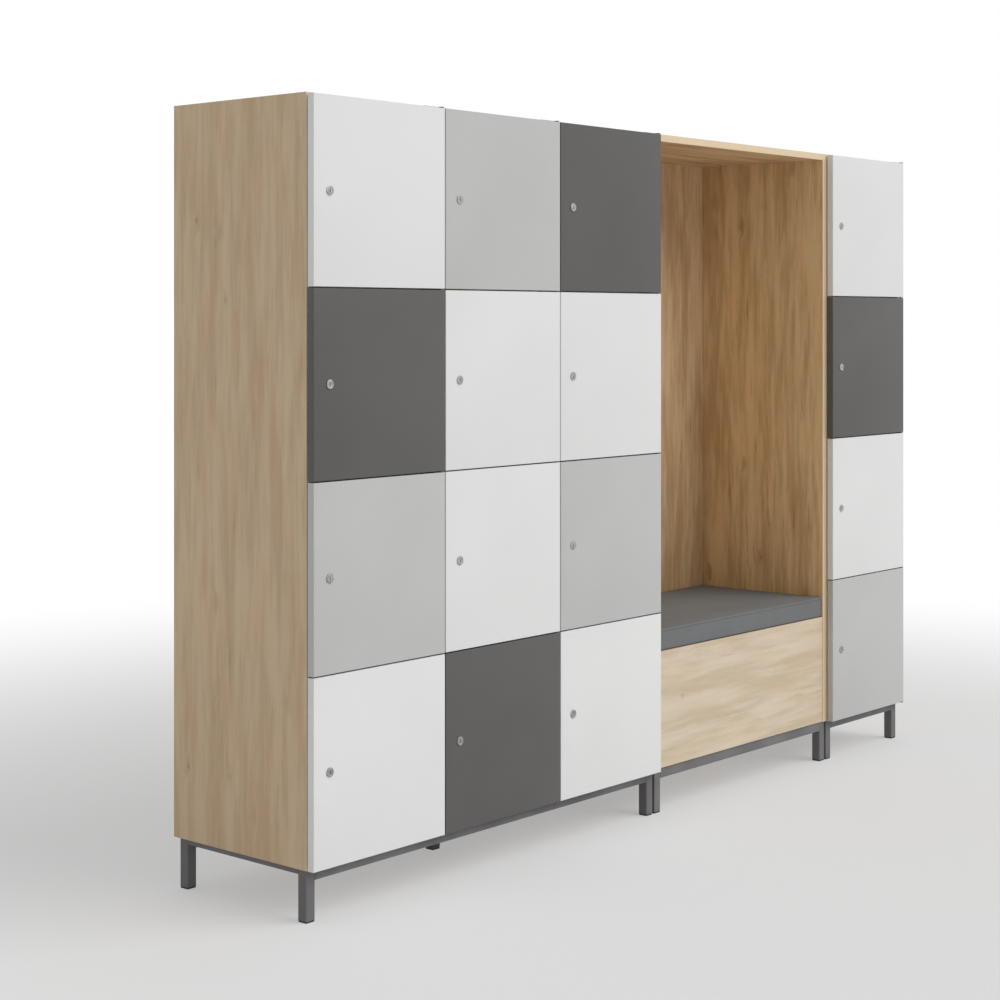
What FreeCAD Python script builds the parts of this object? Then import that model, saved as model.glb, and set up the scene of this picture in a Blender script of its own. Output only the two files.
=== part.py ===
import FreeCAD, Part
import math
import os
import re

# A row of lockers with a seat niche. The frame stands on the floor: z = 0 is the floor, x runs along the
# front to the viewer's right and the doors face -y. The origin is below the middle of the width and of the
# depth, counted from the lock faces to the backs of the carcasses.

LEFT_COLUMNS = 3
RIGHT_COLUMNS = 1
COLUMNS = LEFT_COLUMNS + RIGHT_COLUMNS
ROWS = 4

# Driving dimensions in millimetres.
SIZES = {
    # Grid of compartments and the boards of the carcasses
    "column_width": "400",
    "row_height": "400",
    "niche_width": "812",
    "panel_thick": "18",
    "panel_edge_radius": "0.8",
    "back_thick": "8",
    "back_setback": "6",
    "niche_back_thick": "6",
    # Doors lie in front of the carcass with a gap all round
    "door_thick": "18",
    "door_standoff": "3",
    "door_gap": "3",
    "door_edge_radius": "1.2",
    # Pivot hinges: a bracket in the gap above and below each door, its pin in a bush in the door's edge
    "pivot_from_edge": "6",
    "pivot_from_face": "5.5",
    "pin_radius": "2",
    "pin_engagement": "9",
    "bush_radius": "3.5",
    "bush_length": "12",
    "bracket_thick": "2",
    "bracket_width": "36",
    "bracket_height": "14",
    "bracket_offset": "12",
    "bracket_arm": "8",
    "finger_nose": "4.5",
    # Cam locks
    "lock_inset": "47",
    "lock_face_radius": "10",
    "lock_face_height": "2",
    "lock_face_bevel": "0.8",
    "barrel_radius": "8",
    "barrel_past_door": "10",
    "nut_radius": "12.5",
    "nut_thick": "4",
    "plug_radius": "5",
    "plug_head_radius": "6.5",
    "plug_head_depth": "1.5",
    "plug_recess": "0.4",
    "key_slot_width": "1.6",
    "key_slot_height": "7",
    "key_slot_depth": "3",
    "cam_width": "16",
    "cam_reach": "25",
    "cam_thick": "2.5",
    "cam_end_gap": "0.3",
    "cam_screw_radius": "4.5",
    "cam_screw_height": "2.5",
    # Angle strikes that the cams catch
    "strike_thick": "2",
    "strike_height": "40",
    "strike_flange": "28",
    "strike_cam_gap": "0.8",
    "strike_end_gap": "7",
    # Fits
    "running_clearance": "0.03",
    "press_clearance": "0.02",
    "hole_clearance": "0.2",
    "head_clearance": "0.1",
    # Seat niche
    "seat_height": "297",
    "cushion_thick": "56",
    "cushion_gap": "1",
    "cushion_front_inset": "1",
    "cushion_corner_radius": "6",
    "cushion_draw_in": "2",
    "cushion_edge_round": "7",
    "cushion_base_tuck": "3",
    "cushion_crown": "3",
    "cushion_crown_inset": "70",
    # Drawer under the seat. Its runners have a standard length, and the carcasses are as deep as they need
    "front_thick": "18",
    "front_reveal": "1.2",
    "front_back_gap": "2",
    "front_edge_radius": "1.5",
    "drawer_depth": "350",
    "drawer_rear_gap": "45",
    "drawer_height": "180",
    "drawer_lift": "22",
    "drawer_wall": "12",
    "drawer_bottom": "8",
    "drawer_bottom_lift": "10",
    "runner_depth": "11",
    "runner_side_gap": "2",
    "runner_height": "40",
    "runner_wall": "1.5",
    "runner_front_inset": "24",
    "runner_gap": "0.3",
    "slide_end_gap": "2.5",
    # Steel base frames
    "base_height": "110",
    "leg_width": "25",
    "tube_wall": "2",
    "tube_corner_radius": "2",
    "rail_height": "25",
    "rail_depth": "20",
    "bar_height": "12",
    "frame_side_inset": "4",
    "frame_front_inset": "4",
    "frame_rear_inset": "16",
    "glide_height": "4",
    "glide_plug": "16",
    "glide_margin": "1",
}

# Places and sizes that follow from the driving dimensions.
DERIVED = {
    "unit_width": f"{COLUMNS} * column_width + niche_width",
    "carcass_depth": "front_thick + drawer_depth + drawer_rear_gap + niche_back_thick",
    "unit_depth": "lock_face_height + door_thick + door_standoff + carcass_depth",
    "carcass_height": f"{ROWS} * row_height",
    "carcass_top": "base_height + carcass_height",
    "inner_bottom": "base_height + panel_thick",
    "inner_top": "carcass_top - panel_thick",
    "left_end": "-unit_width / 2",
    "left_locker_width": f"{LEFT_COLUMNS} * column_width",
    "right_locker_width": f"{RIGHT_COLUMNS} * column_width",
    "niche_left": "left_end + left_locker_width",
    "niche_right": "niche_left + niche_width",
    "niche_inner_left": "niche_left + panel_thick",
    "niche_inner_width": "niche_width - 2 * panel_thick",
    "front_face": "-unit_depth / 2 + lock_face_height",
    "door_back": "front_face + door_thick",
    "carcass_front": "door_back + door_standoff",
    "carcass_back": "unit_depth / 2",
    "back_front": "carcass_back - back_setback - back_thick",
    "niche_back_front": "carcass_back - niche_back_thick",
    "door_width": "column_width - door_gap",
    "door_height": "row_height - door_gap",
    "pivot_line": "front_face + pivot_from_face",
    "lock_front": "front_face - lock_face_height",
    "barrel_end": "door_back + barrel_past_door",
    "cam_front": "barrel_end + cam_end_gap",
    "strike_front": "cam_front - strike_cam_gap - strike_thick",
    "seat_top": "base_height + seat_height",
    "seat_front": "carcass_front + front_thick + front_back_gap",
    "runner_space": "runner_depth + runner_side_gap",
    "slide_reach": "runner_space - runner_wall - slide_end_gap",
    "box_width": "niche_inner_width - 2 * runner_space",
    "box_left": "niche_inner_left + runner_space",
    "box_front": "carcass_front + front_thick",
    "box_base": "inner_bottom + drawer_lift",
    "runner_base": "box_base + (drawer_height - runner_height) / 2",
    "frame_front": "carcass_front + frame_front_inset",
    "frame_back": "carcass_back - frame_rear_inset",
}

doc = FreeCAD.newDocument("locker_unit")
sheet = doc.addObject("Spreadsheet::Sheet", "sizes")
cells = list(SIZES.items()) + [(alias, "=" + formula) for alias, formula in DERIVED.items()]
for row, (alias, content) in enumerate(cells, start=1):
    sheet.set(f"A{row}", alias)
    sheet.set(f"B{row}", content)
    sheet.setAlias(f"B{row}", alias)
doc.recompute()

ALIAS = re.compile(r"\b(" + "|".join(sorted(dict(cells), key=len, reverse=True)) + r")\b")
PICK_SLACK = 1e-6  # how far an edge may lie from where it is looked for
nodes = []


def bind(piece, sizes):
    """Tie properties of a piece to formulas in the aliases of the sheet."""
    for name, formula in sizes.items():
        piece.setExpression(name, ALIAS.sub(r"sizes.\1", formula))
    return piece


def place(piece, x, y, z):
    return bind(piece, {"Placement.Base.x": x, "Placement.Base.y": y, "Placement.Base.z": z})


def node(piece):
    """Keep a piece as one of the named sub-parts."""
    nodes.append(piece)
    return piece


def box(name, width, depth, height, x, y, z):
    piece = doc.addObject("Part::Box", name)
    bind(piece, {"Length": width, "Width": depth, "Height": height})
    return place(piece, x, y, z)


def upright(name, radius, height, x, y, z):
    """A cylinder along z that starts at the given point."""
    piece = doc.addObject("Part::Cylinder", name)
    bind(piece, {"Radius": radius, "Height": height})
    return place(piece, x, y, z)


def lay_back(piece):
    """Turn a round piece from the z direction to +y."""
    piece.Placement.Rotation = FreeCAD.Rotation(FreeCAD.Vector(1, 0, 0), -90)
    return piece


def level(name, radius, length, x, y, z):
    """A cylinder along y that starts at the given point."""
    return lay_back(upright(name, radius, length, x, y, z))


def fuse(name, pieces):
    whole = doc.addObject("Part::MultiFuse", name)
    whole.Shapes = pieces
    return whole


def cut(name, base, tool):
    rest = doc.addObject("Part::Cut", name)
    rest.Base = base
    rest.Tool = tool
    return rest


def group(name, pieces):
    """Separate solids that share a node."""
    whole = doc.addObject("Part::Compound", name)
    whole.Links = pieces
    return whole


def rounded(name, width, depth, height, radius, is_round):
    """A block at its own origin, with the edges that is_round picks rounded."""
    body = doc.addObject("PartDesign::Body", name)
    blank = body.newObject("PartDesign::AdditiveBox", name + "_blank")
    bind(blank, {"Length": width, "Width": depth, "Height": height})
    doc.recompute()
    edges = [
        f"Edge{number}"
        for number, edge in enumerate(blank.Shape.Edges, start=1)
        if is_round(edge.BoundBox)
    ]
    easing = body.newObject("PartDesign::Fillet", name + "_easing")
    easing.Base = (blank, edges)
    bind(easing, {"Radius": radius})
    return body


def is_in_front(edge_box):
    """Whether an edge of a block lies in its front face."""
    return edge_box.YMax < PICK_SLACK


def board(name, width, depth, height, x, y, z, radius="panel_edge_radius"):
    """A board whose four front edges are eased."""
    return place(rounded(name, width, depth, height, radius, is_in_front), x, y, z)


def drill(body, name, radius, length, x, y, z):
    """A round hole in a board, in the board's own frame, along z."""
    hole = body.newObject("PartDesign::SubtractiveCylinder", name)
    bind(hole, {"Radius": radius, "Height": length})
    return place(hole, x, y, z)


def tube(name, width, depth, height, x, y, z, along):
    """A rectangular steel tube with rounded corners, open along one axis."""

    def runs_along(edge_box):
        spans = {"x": edge_box.XLength, "y": edge_box.YLength, "z": edge_box.ZLength}
        return spans[along] > PICK_SLACK

    body = rounded(name, width, depth, height, "tube_corner_radius", runs_along)
    sides = []
    for axis, length in zip("xyz", (width, depth, height)):
        if axis == along:
            sides.append((length, "0"))
        else:
            sides.append((f"{length} - 2 * tube_wall", "tube_wall"))
    (bore_width, bore_x), (bore_depth, bore_y), (bore_height, bore_z) = sides
    bore = body.newObject("PartDesign::SubtractiveBox", name + "_bore")
    bind(bore, {"Length": bore_width, "Width": bore_depth, "Height": bore_height})
    place(bore, bore_x, bore_y, bore_z)
    return place(body, x, y, z)


# Where the columns and rows are. The dividers of the wide locker stand on the column lines, so the walls of a
# compartment reach half a board into it there, and a whole board at a locker's own sides.
def column_left(column):
    if column < LEFT_COLUMNS:
        return f"left_end + {column} * column_width"
    return f"niche_right + {column - LEFT_COLUMNS} * column_width"


def left_wall(column):
    return "panel_thick" if column in (0, LEFT_COLUMNS) else "panel_thick / 2"


def right_wall(column):
    return "panel_thick" if column in (LEFT_COLUMNS - 1, COLUMNS - 1) else "panel_thick / 2"


def row_line(row):
    return f"base_height + {row} * row_height"


def lock_axis(column):
    return f"{column_left(column)} + lock_inset"


def lock_height(row):
    return f"{row_line(row)} + door_height / 2"


def pivot_axis(column):
    return f"{column_left(column)} + column_width - door_gap / 2 - pivot_from_edge"


def cell_name(kind, column, row):
    """Columns count from the left and rows from the bottom."""
    return f"{kind}_col{column + 1}_row{row + 1}"


# Locker carcasses: sides over the full height, top and bottom between them, a thin back set in at the rear.
def carcass_side(name, x):
    return board(name, "panel_thick", "carcass_depth", "carcass_height", x, "carcass_front", "base_height")


def carcass_floor(name, x, width, z):
    """A top or bottom board between two sides."""
    inner_width = f"{width} - 2 * panel_thick"
    inner_x = f"{x} + panel_thick"
    return board(name, inner_width, "carcass_depth", "panel_thick", inner_x, "carcass_front", z)


def locker_back(name, x, width):
    inner_width = f"{width} - 2 * panel_thick"
    inner_height = "inner_top - inner_bottom"
    inner_x = f"{x} + panel_thick"
    return box(name, inner_width, "back_thick", inner_height, inner_x, "back_front", "inner_bottom")


node(carcass_side("left_locker_left_side", "left_end"))
node(carcass_side("left_locker_right_side", "niche_left - panel_thick"))
node(carcass_floor("left_locker_bottom", "left_end", "left_locker_width", "base_height"))
node(carcass_floor("left_locker_top", "left_end", "left_locker_width", "inner_top"))
dividers = []
for line in range(1, LEFT_COLUMNS):
    divider_x = f"{column_left(line)} - panel_thick / 2"
    divider_depth = "back_front - carcass_front"
    divider = board(f"divider_{line}", "panel_thick", divider_depth, "inner_top - inner_bottom",
                    divider_x, "carcass_front", "inner_bottom")
    dividers.append(divider)
node(group("left_locker_dividers", dividers))

node(group("right_locker_sides", [
    carcass_side("right_locker_left_side", "niche_right"),
    carcass_side("right_locker_right_side", "niche_right + right_locker_width - panel_thick"),
]))
node(carcass_floor("right_locker_bottom", "niche_right", "right_locker_width", "base_height"))
node(carcass_floor("right_locker_top", "niche_right", "right_locker_width", "inner_top"))
node(group("locker_backs", [
    locker_back("left_locker_back", "left_end", "left_locker_width"),
    locker_back("right_locker_back", "niche_right", "right_locker_width"),
]))

shelves = []
for column in range(COLUMNS):
    shelf_x = f"{column_left(column)} + {left_wall(column)}"
    shelf_width = f"column_width - {left_wall(column)} - {right_wall(column)}"
    for row in range(1, ROWS):
        shelf_z = f"{row_line(row)} - panel_thick / 2"
        shelf = board(f"shelf_{column + 1}_{row}", shelf_width, "back_front - carcass_front", "panel_thick",
                      shelf_x, "carcass_front", shelf_z)
        shelves.append(shelf)
node(group("locker_shelves", shelves))


# Doors. Each stands on its row line and leaves the gap above it. The pivots are near the right front edge, so
# that the door turns clear of its neighbour and of the carcass, and the lock is near the left edge.
def pivot_bush(name, x, z):
    outer = upright(name + "_outer", "bush_radius", "bush_length", x, "pivot_line", z)
    inner = upright(name + "_bore", "pin_radius + running_clearance", "bush_length", x, "pivot_line", z)
    return cut(name, outer, inner)


def lock_housing(name, x, z):
    """Turned housing with a bevelled face, bored for the plug and its head."""
    face = lay_back(doc.addObject("Part::Cone", name + "_face"))
    bind(face, {"Radius1": "lock_face_radius - lock_face_bevel", "Radius2": "lock_face_radius",
                "Height": "lock_face_height"})
    place(face, x, "lock_front", z)
    barrel = level(name + "_barrel", "barrel_radius", "door_thick + barrel_past_door", x, "front_face", z)
    solid = fuse(name + "_solid", [face, barrel])
    bore = level(name + "_bore", "plug_radius + running_clearance", "barrel_end - lock_front",
                 x, "lock_front", z)
    seat = level(name + "_seat", "plug_head_radius + running_clearance",
                 "plug_recess + plug_head_depth + head_clearance", x, "lock_front", z)
    return cut(name, solid, fuse(name + "_hollow", [bore, seat]))


def lock_nut(name, x, z):
    """Hexagon nut that clamps the housing from behind the door."""
    blank = lay_back(doc.addObject("Part::Prism", name + "_blank"))
    blank.Polygon = 6
    bind(blank, {"Circumradius": "nut_radius", "Height": "nut_thick"})
    place(blank, x, "door_back", z)
    thread = level(name + "_thread", "barrel_radius + press_clearance", "nut_thick", x, "door_back", z)
    return cut(name, blank, thread)


def door(name, column, row):
    panel = board(name + "_panel", "door_width", "door_thick", "door_height",
                  f"{column_left(column)} + door_gap / 2", "front_face", row_line(row), "door_edge_radius")
    lock_hole = drill(panel, name + "_lock_hole", "barrel_radius + hole_clearance", "door_thick",
                      "lock_inset - door_gap / 2", "0", "door_height / 2")
    lay_back(lock_hole)
    for end, z in (("lower", "0"), ("upper", "door_height - bush_length")):
        drill(panel, f"{name}_{end}_bush_hole", "bush_radius + press_clearance", "bush_length",
              "door_width - pivot_from_edge", "pivot_from_face", z)
    x = lock_axis(column)
    z = lock_height(row)
    return group(name, [
        panel,
        pivot_bush(name + "_lower_bush", pivot_axis(column), row_line(row)),
        pivot_bush(name + "_upper_bush", pivot_axis(column), f"{row_line(row)} + door_height - bush_length"),
        lock_housing(name + "_lock_housing", x, z),
        lock_nut(name + "_lock_nut", x, z),
    ])


# Lock plug with its cam, which hangs down when the lock is open.
def lock(name, column, row):
    x = lock_axis(column)
    z = lock_height(row)
    head = level(name + "_head", "plug_head_radius", "plug_head_depth", x, "lock_front + plug_recess", z)
    shank = level(name + "_shank", "plug_radius", "cam_front - lock_front - plug_recess", x,
                  "lock_front + plug_recess", z)
    slot = box(name + "_slot", "key_slot_width", "key_slot_depth", "key_slot_height",
               f"{x} - key_slot_width / 2", "lock_front + plug_recess", f"{z} - key_slot_height / 2")
    plug = cut(name + "_plug", fuse(name + "_plug_blank", [head, shank]), slot)
    cam_hub = level(name + "_cam_hub", "cam_width / 2", "cam_thick", x, "cam_front", z)
    cam_arm = box(name + "_cam_arm", "cam_width", "cam_thick", "cam_reach",
                  f"{x} - cam_width / 2", "cam_front", f"{z} - cam_reach")
    cam = fuse(name + "_cam", [cam_hub, cam_arm])
    screw = level(name + "_cam_screw", "cam_screw_radius", "cam_screw_height", x, "cam_front + cam_thick", z)
    return group(name, [plug, cam, screw])


def strike(name, column, row):
    """Bent angle on the left wall of a compartment. The cam turns in behind its lip."""
    wall_x = f"{column_left(column)} + {left_wall(column)}"
    base_z = f"{lock_height(row)} - strike_height / 2"
    lip_width = f"lock_inset - cam_width / 2 - strike_end_gap - {left_wall(column)}"
    flange = box(name + "_flange", "strike_thick", "strike_flange", "strike_height",
                 wall_x, "strike_front", base_z)
    lip = box(name + "_lip", lip_width, "strike_thick", "strike_height", wall_x, "strike_front", base_z)
    return fuse(name, [flange, lip])


strikes = []
for column in range(COLUMNS):
    for row in range(ROWS):
        node(door(cell_name("door", column, row), column, row))
        node(lock(cell_name("lock", column, row), column, row))
        strikes.append(strike(cell_name("strike", column, row), column, row))
node(group("lock_strikes", strikes))


# Hinge brackets. The flange is screwed to the front edge of a shelf, top or bottom. An arm runs from it along
# the rear of the gap between the doors, a finger reaches forward at its end, and the pin stands through the
# finger into the doors above and below.
def gap_plate_z(line):
    """Height of the plates that lie in the middle of a gap between doors."""
    return f"{row_line(line)} - door_gap / 2 - bracket_thick / 2"


def hinge_bracket(name, column, line):
    plate_z = gap_plate_z(line)
    flange_x = f"{pivot_axis(column)} - bracket_offset - bracket_width"
    if line == 0:
        flange_z = plate_z
    elif line == ROWS:
        flange_z = f"{plate_z} + bracket_thick - bracket_height"
    else:
        flange_z = f"{row_line(line)} - bracket_height / 2"
    flange = box(name + "_flange", "bracket_width", "bracket_thick", "bracket_height",
                 flange_x, "carcass_front - bracket_thick", flange_z)
    arm = box(name + "_arm", "bracket_width + bracket_offset + finger_nose", "bracket_arm", "bracket_thick",
              flange_x, "carcass_front - bracket_arm", plate_z)
    finger = box(name + "_finger", "2 * finger_nose", "carcass_front - pivot_line + finger_nose",
                 "bracket_thick",
                 f"{pivot_axis(column)} - finger_nose", "pivot_line - finger_nose", plate_z)
    eye = upright(name + "_eye", "pin_radius + press_clearance", "bracket_thick",
                  pivot_axis(column), "pivot_line", plate_z)
    return cut(name, fuse(name + "_blank", [flange, arm, finger]), eye)


def hinge_pin(name, column, line):
    below = "pin_engagement" if line > 0 else "0"
    above = "pin_engagement" if line < ROWS else "0"
    return upright(name, "pin_radius", f"{below} + bracket_thick + {above}",
                   pivot_axis(column), "pivot_line", f"{gap_plate_z(line)} - {below}")


brackets = []
pins = []
for column in range(COLUMNS):
    for line in range(ROWS + 1):
        brackets.append(hinge_bracket(f"bracket_{column + 1}_{line}", column, line))
        pins.append(hinge_pin(f"pin_{column + 1}_{line}", column, line))
node(group("hinge_brackets", brackets))
node(group("hinge_pins", pins))


# Seat niche between the lockers: sides over the full height, top and back between them, and a bottom and a
# seat board that stop behind the drawer front.
node(carcass_side("niche_left_side", "niche_left"))
node(carcass_side("niche_right_side", "niche_right - panel_thick"))
node(carcass_floor("niche_top", "niche_left", "niche_width", "inner_top"))
node(box("niche_back", "niche_inner_width", "niche_back_thick", "inner_top - base_height",
         "niche_inner_left", "niche_back_front", "base_height"))
node(box("niche_bottom", "niche_inner_width", "niche_back_front - seat_front", "panel_thick",
         "niche_inner_left", "seat_front", "base_height"))
node(box("seat_board", "niche_inner_width", "niche_back_front - seat_front", "panel_thick",
         "niche_inner_left", "seat_front", "seat_top - panel_thick"))


def inside_corner(radius):
    """How far the middle of a quarter round lies inside the corner, along each side."""
    return radius * (1 - math.cos(math.radians(45)))


def cushion_outline(inset, height):
    """Closed outline at a height: four round corners joined by sides that draw in between them."""
    half_width = sheet.get("niche_inner_width") / 2 - sheet.get("cushion_gap") - inset
    front = sheet.get("carcass_front") + sheet.get("cushion_front_inset") + inset
    rear = sheet.get("niche_back_front") - sheet.get("cushion_gap") - inset
    middle_x = sheet.get("niche_inner_left") + sheet.get("niche_inner_width") / 2
    middle_y = (front + rear) / 2
    half_depth = (rear - front) / 2
    radius = sheet.get("cushion_corner_radius")
    draw_in = sheet.get("cushion_draw_in")
    bulge = inside_corner(radius)

    def point(x, y):
        return FreeCAD.Vector(middle_x + x, middle_y + y, height)

    edges = []
    for sign_x, sign_y in ((1, -1), (1, 1), (-1, 1), (-1, -1)):
        on_front = point(sign_x * (half_width - radius), sign_y * half_depth)
        on_side = point(sign_x * half_width, sign_y * (half_depth - radius))
        corner = point(sign_x * (half_width - bulge), sign_y * (half_depth - bulge))
        side_middle = point(sign_x * (half_width - draw_in), 0)
        long_middle = point(0, sign_y * (half_depth - draw_in))
        if sign_x * sign_y < 0:
            far_end = point(sign_x * half_width, -sign_y * (half_depth - radius))
            edges.append(Part.Arc(on_front, corner, on_side).toShape())
            edges.append(Part.Arc(on_side, side_middle, far_end).toShape())
        else:
            far_end = point(-sign_x * (half_width - radius), sign_y * half_depth)
            edges.append(Part.Arc(on_side, corner, on_front).toShape())
            edges.append(Part.Arc(on_front, long_middle, far_end).toShape())
    return Part.Wire(edges)


# Seat cushion: a foam pad in a fabric cover, flat below, with rounded edges and a slight crown.
cushion_base = sheet.get("seat_top")
cushion_top = cushion_base + sheet.get("cushion_thick")
edge_round = sheet.get("cushion_edge_round")
shoulder = cushion_top - sheet.get("cushion_crown")
mid_round = inside_corner(edge_round)
sections = [
    cushion_outline(sheet.get("cushion_base_tuck"), cushion_base),
    cushion_outline(0, cushion_base + edge_round),
    cushion_outline(0, shoulder - edge_round),
    cushion_outline(mid_round, shoulder - mid_round),
    cushion_outline(edge_round, shoulder),
    cushion_outline(sheet.get("cushion_crown_inset"), cushion_top),
]
cushion = doc.addObject("Part::Feature", "seat_cushion")
cushion.Shape = Part.makeLoft(sections, True, True)
cushion.Placement = FreeCAD.Placement()
node(cushion)


# Drawer: a handleless front, a box of thin boards behind it, and side runners.
node(board("drawer_front",
           "niche_inner_width - 2 * front_reveal", "front_thick", "seat_height - 2 * front_reveal",
           "niche_inner_left + front_reveal", "carcass_front", "base_height + front_reveal",
           "front_edge_radius"))

cross_width = "box_width - 2 * drawer_wall"
cross_x = "box_left + drawer_wall"
node(group("drawer_box", [
    box("drawer_left_wall", "drawer_wall", "drawer_depth", "drawer_height",
        "box_left", "box_front", "box_base"),
    box("drawer_right_wall", "drawer_wall", "drawer_depth", "drawer_height",
        "box_left + box_width - drawer_wall", "box_front", "box_base"),
    box("drawer_front_wall", cross_width, "drawer_wall", "drawer_height",
        cross_x, "box_front", "box_base"),
    box("drawer_back_wall", cross_width, "drawer_wall", "drawer_height",
        cross_x, "box_front + drawer_depth - drawer_wall", "box_base"),
    box("drawer_bottom_board", cross_width, "drawer_depth - 2 * drawer_wall", "drawer_bottom",
        cross_x, "box_front + drawer_wall", "box_base + drawer_bottom_lift"),
]))


def runner_rail(name, x, groove_x):
    """Channel on a niche side, as long as the drawer's box, that opens towards it."""
    outer = box(name + "_outer", "runner_depth", "drawer_depth", "runner_height",
                x, "carcass_front + runner_front_inset", "runner_base")
    groove = box(name + "_groove",
                 "runner_depth - runner_wall", "drawer_depth", "runner_height - 2 * runner_wall",
                 groove_x, "carcass_front + runner_front_inset", "runner_base + runner_wall")
    return cut(name, outer, groove)


def runner_slide(name, x):
    """Bar on the drawer's side that runs in the channel."""
    return box(name, "slide_reach", "drawer_depth", "runner_height - 2 * runner_wall - 2 * runner_gap",
               x, "box_front", "runner_base + runner_wall + runner_gap")


right_rail_x = "niche_inner_left + niche_inner_width - runner_depth"
node(group("drawer_runner_rails", [
    runner_rail("left_rail", "niche_inner_left", "niche_inner_left + runner_wall"),
    runner_rail("right_rail", right_rail_x, right_rail_x),
]))
node(group("drawer_runner_slides", [
    runner_slide("left_slide", "box_left - slide_reach"),
    runner_slide("right_slide", "box_left + box_width"),
]))


# Base frames of square steel tube: a leg at each corner, rails along the front and rear, and flat bars along
# the sides. The wide frame also has a leg under its middle.
glides = []


def leg(name, x, y, top):
    """Tube from its glide up to the given height."""
    inner = "leg_width - 2 * tube_wall"
    pad_width = "leg_width - 2 * glide_margin"
    pad = box(name + "_glide_pad", pad_width, pad_width, "glide_height",
              f"{x} + glide_margin", f"{y} + glide_margin", "0")
    plug = box(name + "_glide_plug", inner, inner, "glide_plug",
               f"{x} + tube_wall", f"{y} + tube_wall", "glide_height")
    glides.append(fuse(name + "_glide", [pad, plug]))
    return tube(name, "leg_width", "leg_width", f"{top} - glide_height", x, y, "glide_height", "z")


def base_frame(name, x, width, middle_leg=False):
    left_x = f"{x} + frame_side_inset"
    right_x = f"{x} + {width} - frame_side_inset - leg_width"
    rear_y = "frame_back - leg_width"
    bar_z = "base_height - bar_height"
    rail_z = "base_height - rail_height"
    rail_x = f"{left_x} + leg_width"
    rail_length = f"{width} - 2 * frame_side_inset - 2 * leg_width"
    bar_length = "frame_back - frame_front - 2 * leg_width"
    pieces = [
        leg(name + "_front_left_leg", left_x, "frame_front", "base_height"),
        leg(name + "_front_right_leg", right_x, "frame_front", "base_height"),
        leg(name + "_rear_left_leg", left_x, rear_y, "base_height"),
        leg(name + "_rear_right_leg", right_x, rear_y, "base_height"),
        tube(name + "_front_rail", rail_length, "rail_depth", "rail_height",
             rail_x, "frame_front", rail_z, "x"),
        tube(name + "_rear_rail", rail_length, "rail_depth", "rail_height",
             rail_x, "frame_back - rail_depth", rail_z, "x"),
        tube(name + "_left_bar", "leg_width", bar_length, "bar_height",
             left_x, "frame_front + leg_width", bar_z, "y"),
        tube(name + "_right_bar", "leg_width", bar_length, "bar_height",
             right_x, "frame_front + leg_width", bar_z, "y"),
    ]
    if middle_leg:
        middle_x = f"{x} + {width} / 2 - leg_width / 2"
        middle_y = "(frame_front + frame_back - leg_width) / 2"
        cross_length = "frame_back - frame_front - 2 * rail_depth"
        pieces.append(tube(name + "_cross_bar", "leg_width", cross_length, "bar_height",
                           middle_x, "frame_front + rail_depth", bar_z, "y"))
        pieces.append(leg(name + "_middle_leg", middle_x, middle_y, f"({bar_z})"))
    return group(name, pieces)


node(base_frame("base_frame_left", "left_end", "left_locker_width", middle_leg=True))
node(base_frame("base_frame_middle", "niche_left", "niche_width"))
node(base_frame("base_frame_right", "niche_right", "right_locker_width"))
node(group("foot_glides", glides))

doc.recompute()
for piece in doc.Objects:
    if "Invalid" in piece.State or "Error" in piece.State:
        raise RuntimeError(f"{piece.Label} failed: {piece.State}")
for piece in nodes:
    if piece.Shape.isNull() or not piece.Shape.isValid():
        raise RuntimeError(f"{piece.Label} has no valid shape")

os.makedirs("parts", exist_ok=True)
for piece in nodes:
    piece.Shape.exportStep(f"parts/{piece.Label}.step")
print(len(nodes), "nodes,", sum(len(piece.Shape.Solids) for piece in nodes), "solids")
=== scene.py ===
import math

import bpy
from mathutils import Matrix, Vector


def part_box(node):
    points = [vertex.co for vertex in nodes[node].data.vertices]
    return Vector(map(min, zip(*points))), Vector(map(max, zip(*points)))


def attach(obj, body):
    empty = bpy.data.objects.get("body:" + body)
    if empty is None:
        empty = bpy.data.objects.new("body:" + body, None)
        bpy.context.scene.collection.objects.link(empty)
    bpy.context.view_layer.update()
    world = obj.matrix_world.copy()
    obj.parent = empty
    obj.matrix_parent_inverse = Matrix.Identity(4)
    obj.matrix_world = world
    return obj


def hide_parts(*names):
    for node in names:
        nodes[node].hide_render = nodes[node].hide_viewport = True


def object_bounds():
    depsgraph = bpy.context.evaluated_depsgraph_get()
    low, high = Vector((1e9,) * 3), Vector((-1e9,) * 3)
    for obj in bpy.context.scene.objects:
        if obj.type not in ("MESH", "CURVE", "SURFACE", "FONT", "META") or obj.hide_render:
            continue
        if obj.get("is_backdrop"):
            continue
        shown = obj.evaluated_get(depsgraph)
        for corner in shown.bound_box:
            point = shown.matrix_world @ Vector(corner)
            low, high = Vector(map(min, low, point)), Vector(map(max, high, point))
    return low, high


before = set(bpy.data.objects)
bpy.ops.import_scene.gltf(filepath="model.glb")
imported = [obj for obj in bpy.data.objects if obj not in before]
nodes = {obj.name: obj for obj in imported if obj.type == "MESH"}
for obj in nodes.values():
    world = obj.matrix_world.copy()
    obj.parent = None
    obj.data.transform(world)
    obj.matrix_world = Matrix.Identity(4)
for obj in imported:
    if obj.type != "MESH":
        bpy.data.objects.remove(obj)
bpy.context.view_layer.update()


# Base frames. Each carcass stands on a frame of square legs, rails and flat bars: steel tube that is sawn,
# welded and powder-coated in dark grey. The solids have the tubes' round corners and take the coat as they
# are, and a rippled bead of weld lies in the corner under each rail's end.
COAT_GREY = (0.157, 0.154, 0.157, 1)
COAT_GREY_WORN = (0.195, 0.192, 0.196, 1)
COAT_GRAIN = 1100
COAT_GRAIN_DEPTH = 0.00006
COAT_CLOUDS = 9
COAT_ROUGHNESS = (0.48, 0.62)
COAT_SHINE = 0.12
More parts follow.
